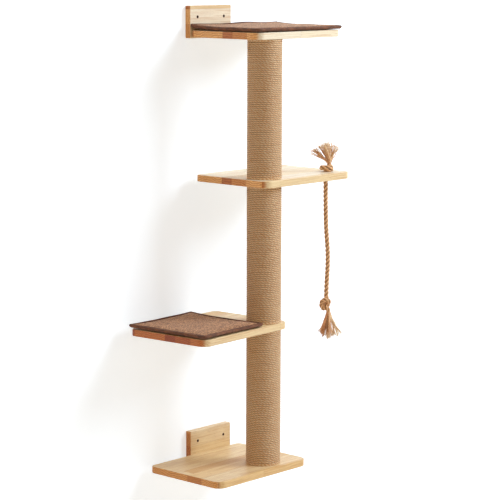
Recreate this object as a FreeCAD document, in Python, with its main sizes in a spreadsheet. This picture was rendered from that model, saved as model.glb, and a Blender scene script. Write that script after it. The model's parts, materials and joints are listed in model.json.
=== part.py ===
import FreeCAD, Part
import math
import os

import Sketcher

# A wall mounted cat tree: a jute wrapped post in three sections carries four wooden shelves, and
# a board behind the lowest and the highest shelf is screwed to the wall. A rope hangs through
# the middle shelf and a soft pad lies on the lower shelf and on the top one.
#
# Frame: the origin is midway between the two wall screw holes of the top wall board, on its back
# face. +X runs along the wall, +Y into the wall and +Z up, so the whole tree has y below 0.
# All lengths are in millimetres, and turns are in degrees.

doc = FreeCAD.newDocument("WallMountedCatTree")
sizes = doc.addObject("Spreadsheet::Sheet", "Sizes")

drivingSizes = [
    ("shelfThickness", 18, "thickness of all four shelves"),
    ("shelfWidth", 340, "base, lower and middle shelf, along the wall"),
    ("shelfDepth", 250, "base, lower and middle shelf, out from the wall"),
    ("topWidth", 328, "top shelf, along the wall"),
    ("topDepth", 238, "top shelf, out from the wall"),
    ("frontCorner", 25, "rounded front corners of the shelves"),
    ("backCorner", 15, "rounded back corners of the shelves"),
    ("edgeRound", 1.5, "broken edges of shelves and wall boards"),
    ("baseRight", 110, "post axis to the base shelf's right edge"),
    ("lowerRight", 46, "post axis to the lower shelf's right edge"),
    ("middleLeft", 60, "post axis to the middle shelf's left edge"),
    ("lowerWallGap", 6, "lower shelf's back edge to the wall, before its turn"),
    ("lowerTurn", 3.8, "turn of the lower shelf about the post"),
    ("postFromWall", 208, "post axis to the wall"),
    ("sectionLength", 357, "one section of the post"),
    ("coreDiameter", 81.5, "outside of the post's paper tube"),
    ("coreWall", 5, "wall of the paper tube"),
    ("wrapRope", 4.75, "thickness of the jute rope wound on the post"),
    ("plugThickness", 20, "wooden end plug of a post section"),
    ("boardWidth", 154, "wall board, along the wall"),
    ("boardHeight", 84, "wall board, upward"),
    ("boardThickness", 18, "wall board, out from the wall"),
    ("boardCorner", 3, "rounded corners of a wall board"),
    ("boardDrop", 3, "wall board's lower edge below its shelf"),
    ("wallHoleSpacing", 99, "between the two wall screw holes"),
    ("wallHoleBelowTop", 29, "wall screw holes below the board's upper edge"),
    ("wallHoleDiameter", 6, "wall screw holes"),
    ("boardScrewSpacing", 96, "between the screws that hold a board to its shelf"),
    ("boardScrewDiameter", 4.5, "shank of those screws"),
    ("boardScrewLength", 50, "length of those screws under the head"),
    ("boardScrewHead", 9, "head diameter of those screws"),
    ("boardScrewHeadHeight", 3, "head height of those screws"),
    ("boardScrewSink", 4, "depth of the head's recess in the board"),
    ("holeClearance", 0.25, "radial clearance of a screw in its hole"),
    ("threadDiameter", 8, "studs and bolts of the post"),
    ("studEngagement", 14, "stud or bolt inside a threaded insert"),
    ("studChamfer", 0.8, "chamfer at the ends of a stud"),
    ("insertDiameter", 12, "outside of a threaded insert"),
    ("insertLength", 16, "length of a threaded insert"),
    ("boltHeadDiameter", 14, "round bolt head"),
    ("boltHeadHeight", 4.4, "round bolt head"),
    ("boltKeyWidth", 5, "hexagon socket across its flats"),
    ("boltKeyDepth", 2.6, "depth of the hexagon socket"),
    ("washerDiameter", 24, "washer under a bolt head"),
    ("washerThickness", 1.6, "washer under a bolt head"),
    ("headRecess", 6.5, "depth of the recess for washer and bolt head"),
    ("gripThickness", 1.5, "fastening strips under a pad"),
    ("gripWidth", 20, "width of a fastening strip"),
    ("gripInset", 35, "fastening strip in from the pad's left and right edges"),
    ("gripEndInset", 30, "ends of a fastening strip in from the pad's front and back edges"),
    ("padLift", 0.3, "pad above its fastening strips"),
    ("padThickness", 8, "pad"),
    ("padOverhang", 2, "pad beyond the shelf's outer edges"),
    ("padBackInset", 2, "pad's back edge in from the shelf's back edge"),
    ("padPostGap", 12.5, "lower pad to the post"),
    ("padCorner", 10, "rounded corners of a pad"),
    ("padEdge", 3, "rounded rim of a pad"),
    ("ropeDiameter", 12, "hanging rope"),
    ("ropeHoleDiameter", 14, "hole for the rope"),
    ("ropeHoleFromRight", 44.5, "rope hole to the middle shelf's right edge"),
    ("ropeHoleFromFront", 52.5, "rope hole to the middle shelf's front edge"),
    ("neckGap", 0.4, "above and below the ball on which the rope swings"),
    ("topKnotDiameter", 38, "knot on top of the middle shelf"),
    ("topKnotHeight", 17, "knot on top of the middle shelf"),
    ("topKnotRound", 7, "rounding of that knot"),
    ("fringeFoot", 16, "frayed end above the knot, diameter at its foot"),
    ("fringeTop", 64, "frayed end above the knot, diameter at its top"),
    ("fringeHeight", 58, "frayed end above the knot"),
    ("endKnotDiameter", 29, "knot at the rope's lower end"),
    ("endKnotHeight", 35, "knot at the rope's lower end"),
    ("endKnotRound", 9, "rounding of that knot"),
    ("tasselTop", 18, "tassel, diameter under the knot"),
    ("tasselFoot", 56, "tassel, diameter at its lower end"),
    ("tasselHeight", 69, "tassel"),
]

# The hanging rope's route, as offsets from the point on which it swings: it leaves the hole
# straight down, bows a little to the front right and reaches the knot upright. The first point's
# height is left to the ball's radius and gap, so that the rope starts where the ball ends.
ropeRoute = [
    (0.0, 0.0, -43.0),
    (1.2, -1.3, -125.0),
    (5.0, -5.4, -187.0),
    (5.0, -5.4, -235.0),
    (2.9, -3.1, -286.0),
    (2.9, -3.1, -317.5),
]

# Share of the shorter of two runs that the arc between them takes up.
arcShare = 0.45

for row, (alias, number, meaning) in enumerate(drivingSizes, start=1):
    sizes.set(f"A{row}", meaning)
    sizes.set(f"B{row}", str(number))
    sizes.setAlias(f"B{row}", alias)
doc.recompute()


def size(alias):
    return float(sizes.get(alias))


# Places that several pieces share, as expressions of the driving sizes. Each shelf's height is
# that of its underside.
topZ = "(Sizes.wallHoleBelowTop + Sizes.boardDrop - Sizes.boardHeight)"
shelfStep = "(Sizes.sectionLength + Sizes.shelfThickness)"
middleZ = f"({topZ} - {shelfStep})"
lowerZ = f"({middleZ} - {shelfStep})"
baseZ = f"({lowerZ} - {shelfStep})"
postY = "-Sizes.postFromWall"

shelfBack = "(Sizes.postFromWall - Sizes.boardThickness)"
lowerBack = "(Sizes.postFromWall - Sizes.lowerWallGap)"
shelfFront = f"(Sizes.shelfDepth - {shelfBack})"
lowerFront = f"(Sizes.shelfDepth - {lowerBack})"
topFront = f"(Sizes.topDepth - {shelfBack})"
lowerLeft = "(Sizes.shelfWidth - Sizes.lowerRight)"
topLeft = "(Sizes.boardWidth / 2)"

coreRadius = "(Sizes.coreDiameter / 2)"
postRadius = f"({coreRadius} + Sizes.wrapRope)"
threadRadius = "(Sizes.threadDiameter / 2)"
ropeHoleX = "(Sizes.shelfWidth - Sizes.middleLeft - Sizes.ropeHoleFromRight)"
ropeHoleFront = f"({shelfFront} - Sizes.ropeHoleFromFront)"
ropeY = f"({postY} - {ropeHoleFront})"
swingZ = f"({middleZ} - Sizes.ropeDiameter / 2 - Sizes.neckGap)"
padRise = "(Sizes.shelfThickness + Sizes.gripThickness + Sizes.padLift)"

alongWall = FreeCAD.Vector(1, 0, 0)
intoWall = FreeCAD.Vector(0, 1, 0)
up = FreeCAD.Vector(0, 0, 1)

# Turns of a cylinder or prism, which points up by itself.
awayFromWall = FreeCAD.Rotation(alongWall, 90)
downward = FreeCAD.Rotation(alongWall, 180)

# A sketch's lines are first drawn about this large, and its constraints then size and place them.
draftSize = 9.0

# What counts as no distance at all, and as no turn at all in radians.
tolerance = 1e-4

nodes = []


def keep(piece, label):
    """Gives a finished sub-part the name of its file."""
    piece.Label = label
    nodes.append(piece)
    return piece


def place(piece, x="0", y="0", z="0"):
    for axis, expression in zip("xyz", (x, y, z)):
        piece.setExpression(f".Placement.Base.{axis}", expression)


def newBody(label, x="0", y=postY, z="0"):
    """A body whose own origin is on the post axis, unless it is placed elsewhere."""
    body = doc.addObject("PartDesign::Body", label)
    place(body, x, y, z)
    return keep(body, label)


def newSketch(body, name, role="XY_Plane", offset=None):
    plane = [feature for feature in body.Origin.OriginFeatures if feature.Role == role][0]
    sketch = body.newObject("Sketcher::SketchObject", f"{body.Name}_{name}")
    sketch.AttachmentSupport = [(plane, "")]
    sketch.MapMode = "FlatFace"
    if offset:
        sketch.setExpression(".AttachmentOffset.Base.z", offset)
    return sketch


def bindDistance(sketch, kind, ends, name, expression):
    """A radius or a distance of the sketch, held at the expression's value."""
    index = sketch.addConstraint(Sketcher.Constraint(kind, *ends, draftSize))
    sketch.renameConstraint(index, name)
    sketch.setExpression(f"Constraints.{name}", expression)


def addRectangle(sketch, left, front, width, depth):
    """A rectangle whose left and front edges lie left and front of the sketch's origin."""
    turns = ((-1, -1), (1, -1), (1, 1), (-1, 1))
    corners = [FreeCAD.Vector(x, y, 0) * draftSize for x, y in turns]
    for start, end in zip(corners, corners[1:] + corners[:1]):
        sketch.addGeometry(Part.LineSegment(start, end), False)
    for line in range(4):
        sketch.addConstraint(Sketcher.Constraint("Coincident", line, 2, (line + 1) % 4, 1))
        direction = "Vertical" if line % 2 else "Horizontal"
        sketch.addConstraint(Sketcher.Constraint(direction, line))
    bindDistance(sketch, "DistanceX", (0, 1, -1, 1), "left", left)
    bindDistance(sketch, "DistanceY", (0, 1, -1, 1), "front", front)
    bindDistance(sketch, "DistanceX", (0, 1, 0, 2), "width", width)
    bindDistance(sketch, "DistanceY", (1, 1, 1, 2), "depth", depth)


def addCircle(sketch, name, radius, side=0, x=None, rise=0, y=None):
    """A circle at the sketch's origin, or x to one side of it and y above or below it."""
    centre = FreeCAD.Vector(side, rise, 0) * draftSize
    circle = sketch.addGeometry(Part.Circle(centre, up, draftSize), False)
    bindDistance(sketch, "Radius", (circle,), f"{name}Radius", radius)
    for kind, sign, distance in (("DistanceX", side, x), ("DistanceY", rise, y)):
        ends = (-1, 1, circle, 3) if sign > 0 else (circle, 3, -1, 1)
        if sign:
            bindDistance(sketch, kind, ends, f"{name}{kind[-1]}", distance)
    if not side and not rise:
        sketch.addConstraint(Sketcher.Constraint("Coincident", circle, 3, -1, 1))
    elif not side:
        sketch.addConstraint(Sketcher.Constraint("PointOnObject", circle, 3, -2))
    elif not rise:
        sketch.addConstraint(Sketcher.Constraint("PointOnObject", circle, 3, -1))


def addPad(body, sketch, length):
    pad = body.newObject("PartDesign::Pad", f"{body.Name}_Pad")
    pad.Profile = sketch
    pad.setExpression("Length", length)
    doc.recompute()
    return pad


def addPocket(body, sketch, name, depth=None, intoNormal=True):
    """Cuts a sketch's outline through the solid, or to a depth, on the chosen side of the sketch."""
    pocket = body.newObject("PartDesign::Pocket", f"{body.Name}_{name}")
    pocket.Profile = sketch
    pocket.Reversed = intoNormal
    if depth:
        pocket.setExpression("Length", depth)
    else:
        pocket.Type = "ThroughAll"
    doc.recompute()


def isStraightAlong(edge, direction):
    if not isinstance(edge.Curve, Part.Line):
        return False
    return edge.Curve.Direction.cross(direction).Length < tolerance


def roundEdges(body, name, radius, wanted):
    """Rounds the edges of the body's last feature for which wanted(edge) holds."""
    base = body.Tip
    names = [f"Edge{n}" for n, edge in enumerate(base.Shape.Edges, start=1) if wanted(edge)]
    fillet = body.newObject("PartDesign::Fillet", f"{body.Name}_{name}")
    fillet.Base = (base, names)
    fillet.setExpression("Radius", radius)
    doc.recompute()


def roundRim(body, axis, radius):
    """Rounds the rim of both faces of a plate that is thin along the axis."""
    box = body.Tip.Shape.BoundBox
    middle = box.Center.dot(axis)
    half = FreeCAD.Vector(box.XLength, box.YLength, box.ZLength).dot(axis) / 2

    def onFace(edge):
        heights = [vertex.Point.dot(axis) for vertex in edge.Vertexes]
        away = [abs(abs(height - middle) - abs(half)) for height in heights]
        return max(away) < tolerance and not isStraightAlong(edge, axis)

    roundEdges(body, "Rim", radius, onFace)


def roundPlate(body, axis, corner, rim):
    """Rounds a plate's corners, which run along the axis, and then its rim."""
    roundEdges(body, "Corners", corner, lambda edge: isStraightAlong(edge, axis))
    roundRim(body, axis, rim)


def cylinder(name, radius, length, x="0", y=postY, z="0", rotation=None):
    piece = doc.addObject("Part::Cylinder", name)
    if rotation:
        piece.Placement.Rotation = rotation
    piece.setExpression("Radius", radius)
    piece.setExpression("Height", length)
    place(piece, x, y, z)
    return piece


def fuse(name, pieces):
    joined = doc.addObject("Part::MultiFuse", name)
    joined.Shapes = pieces
    return joined


def cut(name, base, tool):
    piece = doc.addObject("Part::Cut", name)
    piece.Base = base
    piece.Tool = tool
    return piece


# Shelves. Each shelf's own origin is on the post axis, on its underside.

def makeShelf(label, z, left, front, width, depth):
    body = newBody(label, z=z)
    sketch = newSketch(body, "Outline")
    addRectangle(sketch, left, front, width, depth)
    addPad(body, sketch, "Sizes.shelfThickness")
    middle = body.Tip.Shape.BoundBox.Center

    def isCorner(edge, outward):
        return isStraightAlong(edge, up) and (edge.CenterOfMass - middle).dot(outward) > 0

    roundEdges(body, "FrontCorners", "Sizes.frontCorner", lambda edge: isCorner(edge, -intoWall))
    roundEdges(body, "BackCorners", "Sizes.backCorner", lambda edge: isCorner(edge, intoWall))
    roundRim(body, up, "Sizes.edgeRound")
    hole = newSketch(body, "PostHole")
    addCircle(hole, "post", f"{threadRadius} + Sizes.holeClearance")
    addPocket(body, hole, "PostBore")
    return body


def cutHeadRecess(body, fromTop):
    """The recess that takes the washer and the bolt head, in the underside or in the top."""
    recess = newSketch(body, "Recess", offset="Sizes.shelfThickness" if fromTop else None)
    addCircle(recess, "head", "Sizes.washerDiameter / 2 + Sizes.holeClearance")
    addPocket(body, recess, "HeadRecess", "Sizes.headRecess", intoNormal=not fromTop)


def cutScrewPilots(body):
    """The two holes in the shelf's back edge for the screws that come through the wall board."""
    pilots = newSketch(body, "Pilots", "XZ_Plane", offset=f"-{shelfBack}")
    for side, name in ((-1, "leftPilot"), (1, "rightPilot")):
        addCircle(pilots, name, "Sizes.boardScrewDiameter / 2",
                  side, "Sizes.boardScrewSpacing / 2", 1, "Sizes.shelfThickness / 2")
    depth = "Sizes.boardScrewLength + Sizes.boardScrewSink - Sizes.boardThickness"
    addPocket(body, pilots, "PilotHoles", depth)


baseShelf = makeShelf("base_shelf", baseZ, "Sizes.shelfWidth - Sizes.baseRight", shelfFront,
                      "Sizes.shelfWidth", "Sizes.shelfDepth")
cutHeadRecess(baseShelf, fromTop=False)
cutScrewPilots(baseShelf)

lowerShelf = makeShelf("lower_shelf", lowerZ, lowerLeft, lowerFront,
                       "Sizes.shelfWidth", "Sizes.shelfDepth")
lowerShelf.setExpression(".Placement.Rotation.Angle", "Sizes.lowerTurn")

middleShelf = makeShelf("middle_shelf", middleZ, "Sizes.middleLeft", shelfFront,
                        "Sizes.shelfWidth", "Sizes.shelfDepth")
ropeHole = newSketch(middleShelf, "RopeHole")
addCircle(ropeHole, "rope", "Sizes.ropeHoleDiameter / 2", 1, ropeHoleX, -1, ropeHoleFront)
addPocket(middleShelf, ropeHole, "RopeBore")

topShelf = makeShelf("top_shelf", topZ, topLeft, topFront, "Sizes.topWidth", "Sizes.topDepth")
cutHeadRecess(topShelf, fromTop=True)
cutScrewPilots(topShelf)


# Wall boards, and the screws that hold each one to its shelf. A board's own origin is midway
# between its wall screw holes, on its back face.

shelfMidBelowHoles = ("(Sizes.boardHeight - Sizes.wallHoleBelowTop - Sizes.boardDrop"
                      " - Sizes.shelfThickness / 2)")


def makeWallBoard(label, z):
    body = newBody(label, y="0", z=z)
    outline = newSketch(body, "Outline", "XZ_Plane")
    addRectangle(outline, "Sizes.boardWidth / 2", "Sizes.boardHeight - Sizes.wallHoleBelowTop",
                 "Sizes.boardWidth", "Sizes.boardHeight")
    addPad(body, outline, "Sizes.boardThickness")
    roundPlate(body, intoWall, "Sizes.boardCorner", "Sizes.edgeRound")
    wallHoles = newSketch(body, "WallHoles", "XZ_Plane")
    shanks = newSketch(body, "Shanks", "XZ_Plane")
    heads = newSketch(body, "Heads", "XZ_Plane")
    for side, name in ((-1, "left"), (1, "right")):
        addCircle(wallHoles, name, "Sizes.wallHoleDiameter / 2", side, "Sizes.wallHoleSpacing / 2")
        addCircle(shanks, name, "Sizes.boardScrewDiameter / 2 + Sizes.holeClearance",
                  side, "Sizes.boardScrewSpacing / 2", -1, shelfMidBelowHoles)
        addCircle(heads, name, "Sizes.boardScrewHead / 2 + Sizes.holeClearance",
                  side, "Sizes.boardScrewSpacing / 2", -1, shelfMidBelowHoles)
    addPocket(body, wallHoles, "WallBores")
    addPocket(body, shanks, "ShankBores")
    addPocket(body, heads, "HeadSinks", "Sizes.boardScrewSink")


def makeBoardScrews(label, shelfZ):
    parts = []
    screwZ = f"{shelfZ} + Sizes.shelfThickness / 2"
    headY = "Sizes.boardScrewHeadHeight - Sizes.boardScrewSink"
    for side, name in ((-1, "Left"), (1, "Right")):
        screwX = f"{side} * Sizes.boardScrewSpacing / 2"
        parts.append(cylinder(f"{label}{name}Head", "Sizes.boardScrewHead / 2",
                              "Sizes.boardScrewHeadHeight", screwX, headY, screwZ, awayFromWall))
        parts.append(cylinder(f"{label}{name}Shank", "Sizes.boardScrewDiameter / 2",
                              "Sizes.boardScrewLength", screwX, "-Sizes.boardScrewSink", screwZ,
                              awayFromWall))
    keep(fuse(label, parts), label)


makeWallBoard("top_wall_board", "0")
makeWallBoard("base_wall_board", f"{baseZ} - {topZ}")
makeBoardScrews("top_board_screws", topZ)
makeBoardScrews("base_board_screws", baseZ)


# Post sections: a paper tube with a wooden plug at each end, a threaded insert in each plug,
# and the jute rope wound around the tube.

def makeRing(label, z, outer, inner, length):
    body = newBody(label, z=z)
    section = newSketch(body, "Section")
    addCircle(section, "outer", outer)
    addCircle(section, "inner", inner)
    addPad(body, section, length)


def makeInserts(label, heights):
    outsides = [cylinder(f"{label}Outside{n}", "Sizes.insertDiameter / 2", "Sizes.insertLength",
                         z=z) for n, z in enumerate(heights)]
    threads = [cylinder(f"{label}Thread{n}", threadRadius, "Sizes.insertLength", z=z)
               for n, z in enumerate(heights)]
    solid = fuse(f"{label}Outsides", outsides)
    keep(cut(label, solid, fuse(f"{label}Threads", threads)), label)


for section, shelfZ in (("lower_post", baseZ), ("middle_post", lowerZ), ("upper_post", middleZ)):
    footZ = f"{shelfZ} + Sizes.shelfThickness"
    headZ = f"{footZ} + Sizes.sectionLength"
    plugRadius = f"{coreRadius} - Sizes.coreWall"
    makeRing(f"{section}_core", footZ, coreRadius, plugRadius, "Sizes.sectionLength")
    makeRing(f"{section}_wrap", footZ, postRadius, coreRadius, "Sizes.sectionLength")
    makeRing(f"{section}_bottom_plug", footZ, plugRadius, "Sizes.insertDiameter / 2",
             "Sizes.plugThickness")
    makeRing(f"{section}_top_plug", f"{headZ} - Sizes.plugThickness", plugRadius,
             "Sizes.insertDiameter / 2", "Sizes.plugThickness")
    makeInserts(f"{section}_inserts", (footZ, f"{headZ} - Sizes.insertLength"))


# Fasteners on the post axis: a stud through the lower and the middle shelf joins the sections
# above and below it, and a bolt with a washer holds the base shelf and the top shelf.

def makeStud(label, shelfZ):
    body = newBody(label, z=f"{shelfZ} - Sizes.studEngagement")
    section = newSketch(body, "Section")
    addCircle(section, "thread", threadRadius)
    pad = addPad(body, section, "Sizes.shelfThickness + 2 * Sizes.studEngagement")
    ends = [f"Edge{n}" for n, edge in enumerate(pad.Shape.Edges, start=1)
            if isinstance(edge.Curve, Part.Circle)]
    chamfer = body.newObject("PartDesign::Chamfer", f"{label}_Chamfer")
    chamfer.Base = (pad, ends)
    chamfer.setExpression("Size", "Sizes.studChamfer")


boltShank = ("(Sizes.washerThickness + Sizes.shelfThickness - Sizes.headRecess"
             " + Sizes.studEngagement)")


def makeBolt(boltLabel, washerLabel, outerFace, inward):
    """A bolt and its washer, sunk into the shelf's outer face; inward is 1 for up, -1 for down."""
    washerFace = f"({outerFace} + {inward} * (Sizes.headRecess - Sizes.washerThickness))"
    intoShelf, outOfShelf = (None, downward) if inward > 0 else (downward, None)
    head = cylinder(f"{boltLabel}Head", "Sizes.boltHeadDiameter / 2", "Sizes.boltHeadHeight",
                    z=washerFace, rotation=outOfShelf)
    shank = cylinder(f"{boltLabel}Shank", threadRadius, boltShank, z=washerFace,
                     rotation=intoShelf)
    socket = doc.addObject("Part::Prism", f"{boltLabel}Socket")
    socket.Polygon = 6
    socket.Placement.Rotation = intoShelf or FreeCAD.Rotation()
    socket.setExpression("Circumradius", "Sizes.boltKeyWidth / cos(30 deg) / 2")
    socket.setExpression("Height", "Sizes.boltKeyDepth")
    place(socket, y=postY, z=f"{washerFace} - {inward} * Sizes.boltHeadHeight")
    keep(cut(boltLabel, fuse(f"{boltLabel}Whole", [head, shank]), socket), boltLabel)
    disc = cylinder(f"{washerLabel}Disc", "Sizes.washerDiameter / 2", "Sizes.washerThickness",
                    z=washerFace, rotation=intoShelf)
    bore = cylinder(f"{washerLabel}Bore", f"{threadRadius} + Sizes.holeClearance",
                    "Sizes.washerThickness", z=washerFace, rotation=intoShelf)
    keep(cut(washerLabel, disc, bore), washerLabel)


makeStud("lower_stud", lowerZ)
makeStud("middle_stud", middleZ)
makeBolt("base_bolt", "base_washer", baseZ, 1)
makeBolt("top_bolt", "top_washer", f"({topZ} + Sizes.shelfThickness)", -1)


# Pads, and the fastening strips that hold them. Their own origin is on the post axis too, on
# the underside of the shelf that carries them.

def makePad(label, shelfZ, left, front, width, depth):
    body = newBody(label, z=shelfZ)
    outline = newSketch(body, "Outline", offset=padRise)
    addRectangle(outline, left, front, width, depth)
    addPad(body, outline, "Sizes.padThickness")
    roundPlate(body, up, "Sizes.padCorner", "Sizes.padEdge")
    return body


def makeGrips(label, shelfZ, left, front, width, depth):
    """Two strips that run from front to back under the pad, near its left and right edges."""
    body = newBody(label, z=shelfZ)
    body.AllowCompound = True
    strip = newSketch(body, "Strip", offset="Sizes.shelfThickness")
    addRectangle(strip, f"{left} - Sizes.gripInset", f"{front} - Sizes.gripEndInset",
                 "Sizes.gripWidth", f"{depth} - 2 * Sizes.gripEndInset")
    pad = addPad(body, strip, "Sizes.gripThickness")
    pair = body.newObject("PartDesign::LinearPattern", f"{label}_Pair")
    pair.Originals = [pad]
    pair.Direction = (strip, ["H_Axis"])
    pair.Occurrences = 2
    pair.setExpression("Length", f"{width} - 2 * Sizes.gripInset - Sizes.gripWidth")
    body.Tip = pair
    return body


def padOutline(left, front, back, width):
    """Left and front edge, width and depth of a pad, from its shelf's edges and its own width."""
    padLeft = f"({left} + Sizes.padOverhang)"
    padFront = f"({front} + Sizes.padOverhang)"
    return padLeft, padFront, width, f"({padFront} + {back} - Sizes.padBackInset)"


topPadOutline = padOutline(topLeft, topFront, shelfBack, "(Sizes.topWidth + 2 * Sizes.padOverhang)")
makePad("top_pad", topZ, *topPadOutline)
makeGrips("top_pad_grips", topZ, *topPadOutline)

lowerPadWidth = f"({lowerLeft} + Sizes.padOverhang - {postRadius} - Sizes.padPostGap)"
lowerPadOutline = padOutline(lowerLeft, lowerFront, lowerBack, lowerPadWidth)
for piece in (makePad("lower_pad", lowerZ, *lowerPadOutline),
              makeGrips("lower_pad_grips", lowerZ, *lowerPadOutline)):
    piece.setExpression(".Placement.Rotation.Angle", "Sizes.lowerTurn")


# Rope: the knot and the frayed end on the middle shelf hold it, it passes through the hole, and
# below the hole it swings on a ball and ends in a knot and a tassel.

def makeKnot(label, x, y, z, diameter, height, rounding):
    body = newBody(label, x, y, z)
    outline = newSketch(body, "Outline")
    addCircle(outline, "knot", f"{diameter} / 2")
    addPad(body, outline, height)
    roundEdges(body, "Rounding", rounding, lambda edge: isinstance(edge.Curve, Part.Circle))


def makeBrush(label, x, y, z, foot, top, height):
    """Loose strands that spread from a knot, as one closed cone."""
    brush = doc.addObject("Part::Cone", label)
    brush.setExpression("Radius1", f"{foot} / 2")
    brush.setExpression("Radius2", f"{top} / 2")
    brush.setExpression("Height", height)
    place(brush, x, y, z)
    keep(brush, label)


def makeTube(points, radius):
    """A tube along straight runs that are joined by arcs tangent to both of their runs."""
    edges = []
    reached = points[0]
    for before, corner, after in zip(points, points[1:], points[2:]):
        arriving = (corner - before).normalize()
        leaving = (after - corner).normalize()
        halfTurn = arriving.getAngle(leaving) / 2
        reach = arcShare * min((corner - before).Length, (after - corner).Length)
        bend = reach / math.tan(halfTurn)
        inward = (leaving - arriving).normalize()
        start = corner - arriving * reach
        middle = corner + inward * (bend / math.cos(halfTurn) - bend)
        end = corner + leaving * reach
        edges.append(Part.LineSegment(reached, start).toShape())
        edges.append(Part.Arc(start, middle, end).toShape())
        reached = end
        print(f"rope bend radius {bend:.0f} mm")
    edges.append(Part.LineSegment(reached, points[-1]).toShape())
    path = Part.Wire(edges)
    section = Part.Wire(Part.makeCircle(radius, points[0], points[1] - points[0]))
    tube = path.makePipeShell([section], True, False)
    expected = math.pi * radius ** 2 * path.Length
    print(f"rope length {path.Length:.1f} mm, volume {tube.Volume / expected:.4f} of expected")
    return tube


ropeRadius = "(Sizes.ropeDiameter / 2)"
onMiddleShelf = f"({middleZ} + Sizes.shelfThickness)"
makeKnot("rope_top_knot", ropeHoleX, ropeY, onMiddleShelf,
         "Sizes.topKnotDiameter", "Sizes.topKnotHeight", "Sizes.topKnotRound")
makeBrush("rope_fringe", ropeHoleX, ropeY, f"{onMiddleShelf} + Sizes.topKnotHeight",
          "Sizes.fringeFoot", "Sizes.fringeTop", "Sizes.fringeHeight")
keep(cylinder("rope_in_hole", ropeRadius, "Sizes.shelfThickness", ropeHoleX, ropeY, middleZ),
     "rope_in_hole")

neck = doc.addObject("Part::Sphere", "rope_neck")
neck.setExpression("Radius", ropeRadius)
place(neck, ropeHoleX, ropeY, swingZ)
keep(neck, "rope_neck")

ropeStart = FreeCAD.Vector(0, 0, -size("ropeDiameter") / 2 - size("neckGap"))
ropePoints = [ropeStart] + [FreeCAD.Vector(*offsets) for offsets in ropeRoute]
hangingRope = doc.addObject("Part::Feature", "hanging_rope")
hangingRope.Shape = makeTube(ropePoints, size("ropeDiameter") / 2)
place(hangingRope, ropeHoleX, ropeY, swingZ)
keep(hangingRope, "hanging_rope")

endX = f"{ropeHoleX} + {ropePoints[-1].x}"
endY = f"{ropeY} + {ropePoints[-1].y}"
endKnotZ = f"{swingZ} + {ropePoints[-1].z} - Sizes.endKnotHeight"
makeKnot("rope_end_knot", endX, endY, endKnotZ,
         "Sizes.endKnotDiameter", "Sizes.endKnotHeight", "Sizes.endKnotRound")
makeBrush("rope_tassel", endX, endY, f"{endKnotZ} - Sizes.tasselHeight",
          "Sizes.tasselFoot", "Sizes.tasselTop", "Sizes.tasselHeight")


# Every object has to be sound before anything is written.

doc.recompute()
for item in doc.Objects:
    if "Invalid" in item.State or "Error" in item.State:
        raise RuntimeError(f"{item.Label} failed to build")
for piece in nodes:
    if piece.Shape.isNull() or not piece.Shape.isValid():
        raise RuntimeError(f"{piece.Label} has no valid shape")

os.makedirs("parts", exist_ok=True)
for piece in nodes:
    piece.Shape.exportStep(os.path.join("parts", f"{piece.Label}.step"))
print(f"{len(nodes)} sub-parts written")
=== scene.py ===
import json
import math
import random

import bpy
import numpy as np
from mathutils import Matrix, Vector


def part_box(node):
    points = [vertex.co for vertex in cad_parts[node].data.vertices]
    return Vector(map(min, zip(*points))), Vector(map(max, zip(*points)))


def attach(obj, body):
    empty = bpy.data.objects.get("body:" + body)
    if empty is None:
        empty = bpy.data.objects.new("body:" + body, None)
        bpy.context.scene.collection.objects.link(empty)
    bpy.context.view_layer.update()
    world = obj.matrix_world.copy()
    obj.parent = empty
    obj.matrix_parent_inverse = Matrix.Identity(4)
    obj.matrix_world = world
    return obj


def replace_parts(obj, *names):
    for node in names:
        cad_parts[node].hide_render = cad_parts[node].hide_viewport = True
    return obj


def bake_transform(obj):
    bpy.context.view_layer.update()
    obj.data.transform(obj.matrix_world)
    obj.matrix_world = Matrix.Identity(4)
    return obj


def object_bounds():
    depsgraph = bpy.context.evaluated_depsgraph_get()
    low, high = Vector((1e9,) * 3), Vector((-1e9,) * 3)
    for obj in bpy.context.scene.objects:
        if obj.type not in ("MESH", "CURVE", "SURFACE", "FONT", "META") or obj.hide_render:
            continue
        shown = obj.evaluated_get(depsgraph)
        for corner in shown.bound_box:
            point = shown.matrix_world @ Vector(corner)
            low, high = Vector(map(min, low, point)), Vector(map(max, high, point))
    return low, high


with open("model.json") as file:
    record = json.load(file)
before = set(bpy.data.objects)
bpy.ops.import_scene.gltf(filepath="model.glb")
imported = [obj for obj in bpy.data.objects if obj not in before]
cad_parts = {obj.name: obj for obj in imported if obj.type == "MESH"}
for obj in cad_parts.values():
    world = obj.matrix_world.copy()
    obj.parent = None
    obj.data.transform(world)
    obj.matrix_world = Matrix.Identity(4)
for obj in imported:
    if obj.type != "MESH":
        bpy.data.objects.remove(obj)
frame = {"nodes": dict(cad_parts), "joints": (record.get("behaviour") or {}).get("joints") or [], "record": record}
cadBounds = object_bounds()
nodes = frame["nodes"]
mm = 0.001


# Camera: it stands to the left of the tree and a little above its middle shelf, and looks down.
camera = {
    "position": (-3.756, -3.596, 0.163),
    "turnToWall": 47.54,  # degrees from straight at the wall toward +X
    "tiltDown": 8.53,
    "roll": 0.19,
    "lens": 142.45,
    "sensorWidth": 36,
}


def newObject(name, data):
    made = bpy.data.objects.new(name, data)
    bpy.context.collection.objects.link(made)
    return made


cameraObject = newObject("camera", bpy.data.cameras.new("camera"))
cameraObject.data.lens = camera["lens"]
cameraObject.data.sensor_width = camera["sensorWidth"]
cameraObject.data.sensor_fit = "HORIZONTAL"
cameraObject.matrix_world = (
    Matrix.Translation(camera["position"])
    @ Matrix.Rotation(-math.radians(camera["turnToWall"]), 4, "Z")
    @ Matrix.Rotation(math.radians(90 - camera["tiltDown"]), 4, "X")
    @ Matrix.Rotation(math.radians(camera["roll"]), 4, "Z")
)
bpy.context.scene.camera = cameraObject
print("camera placed")


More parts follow.
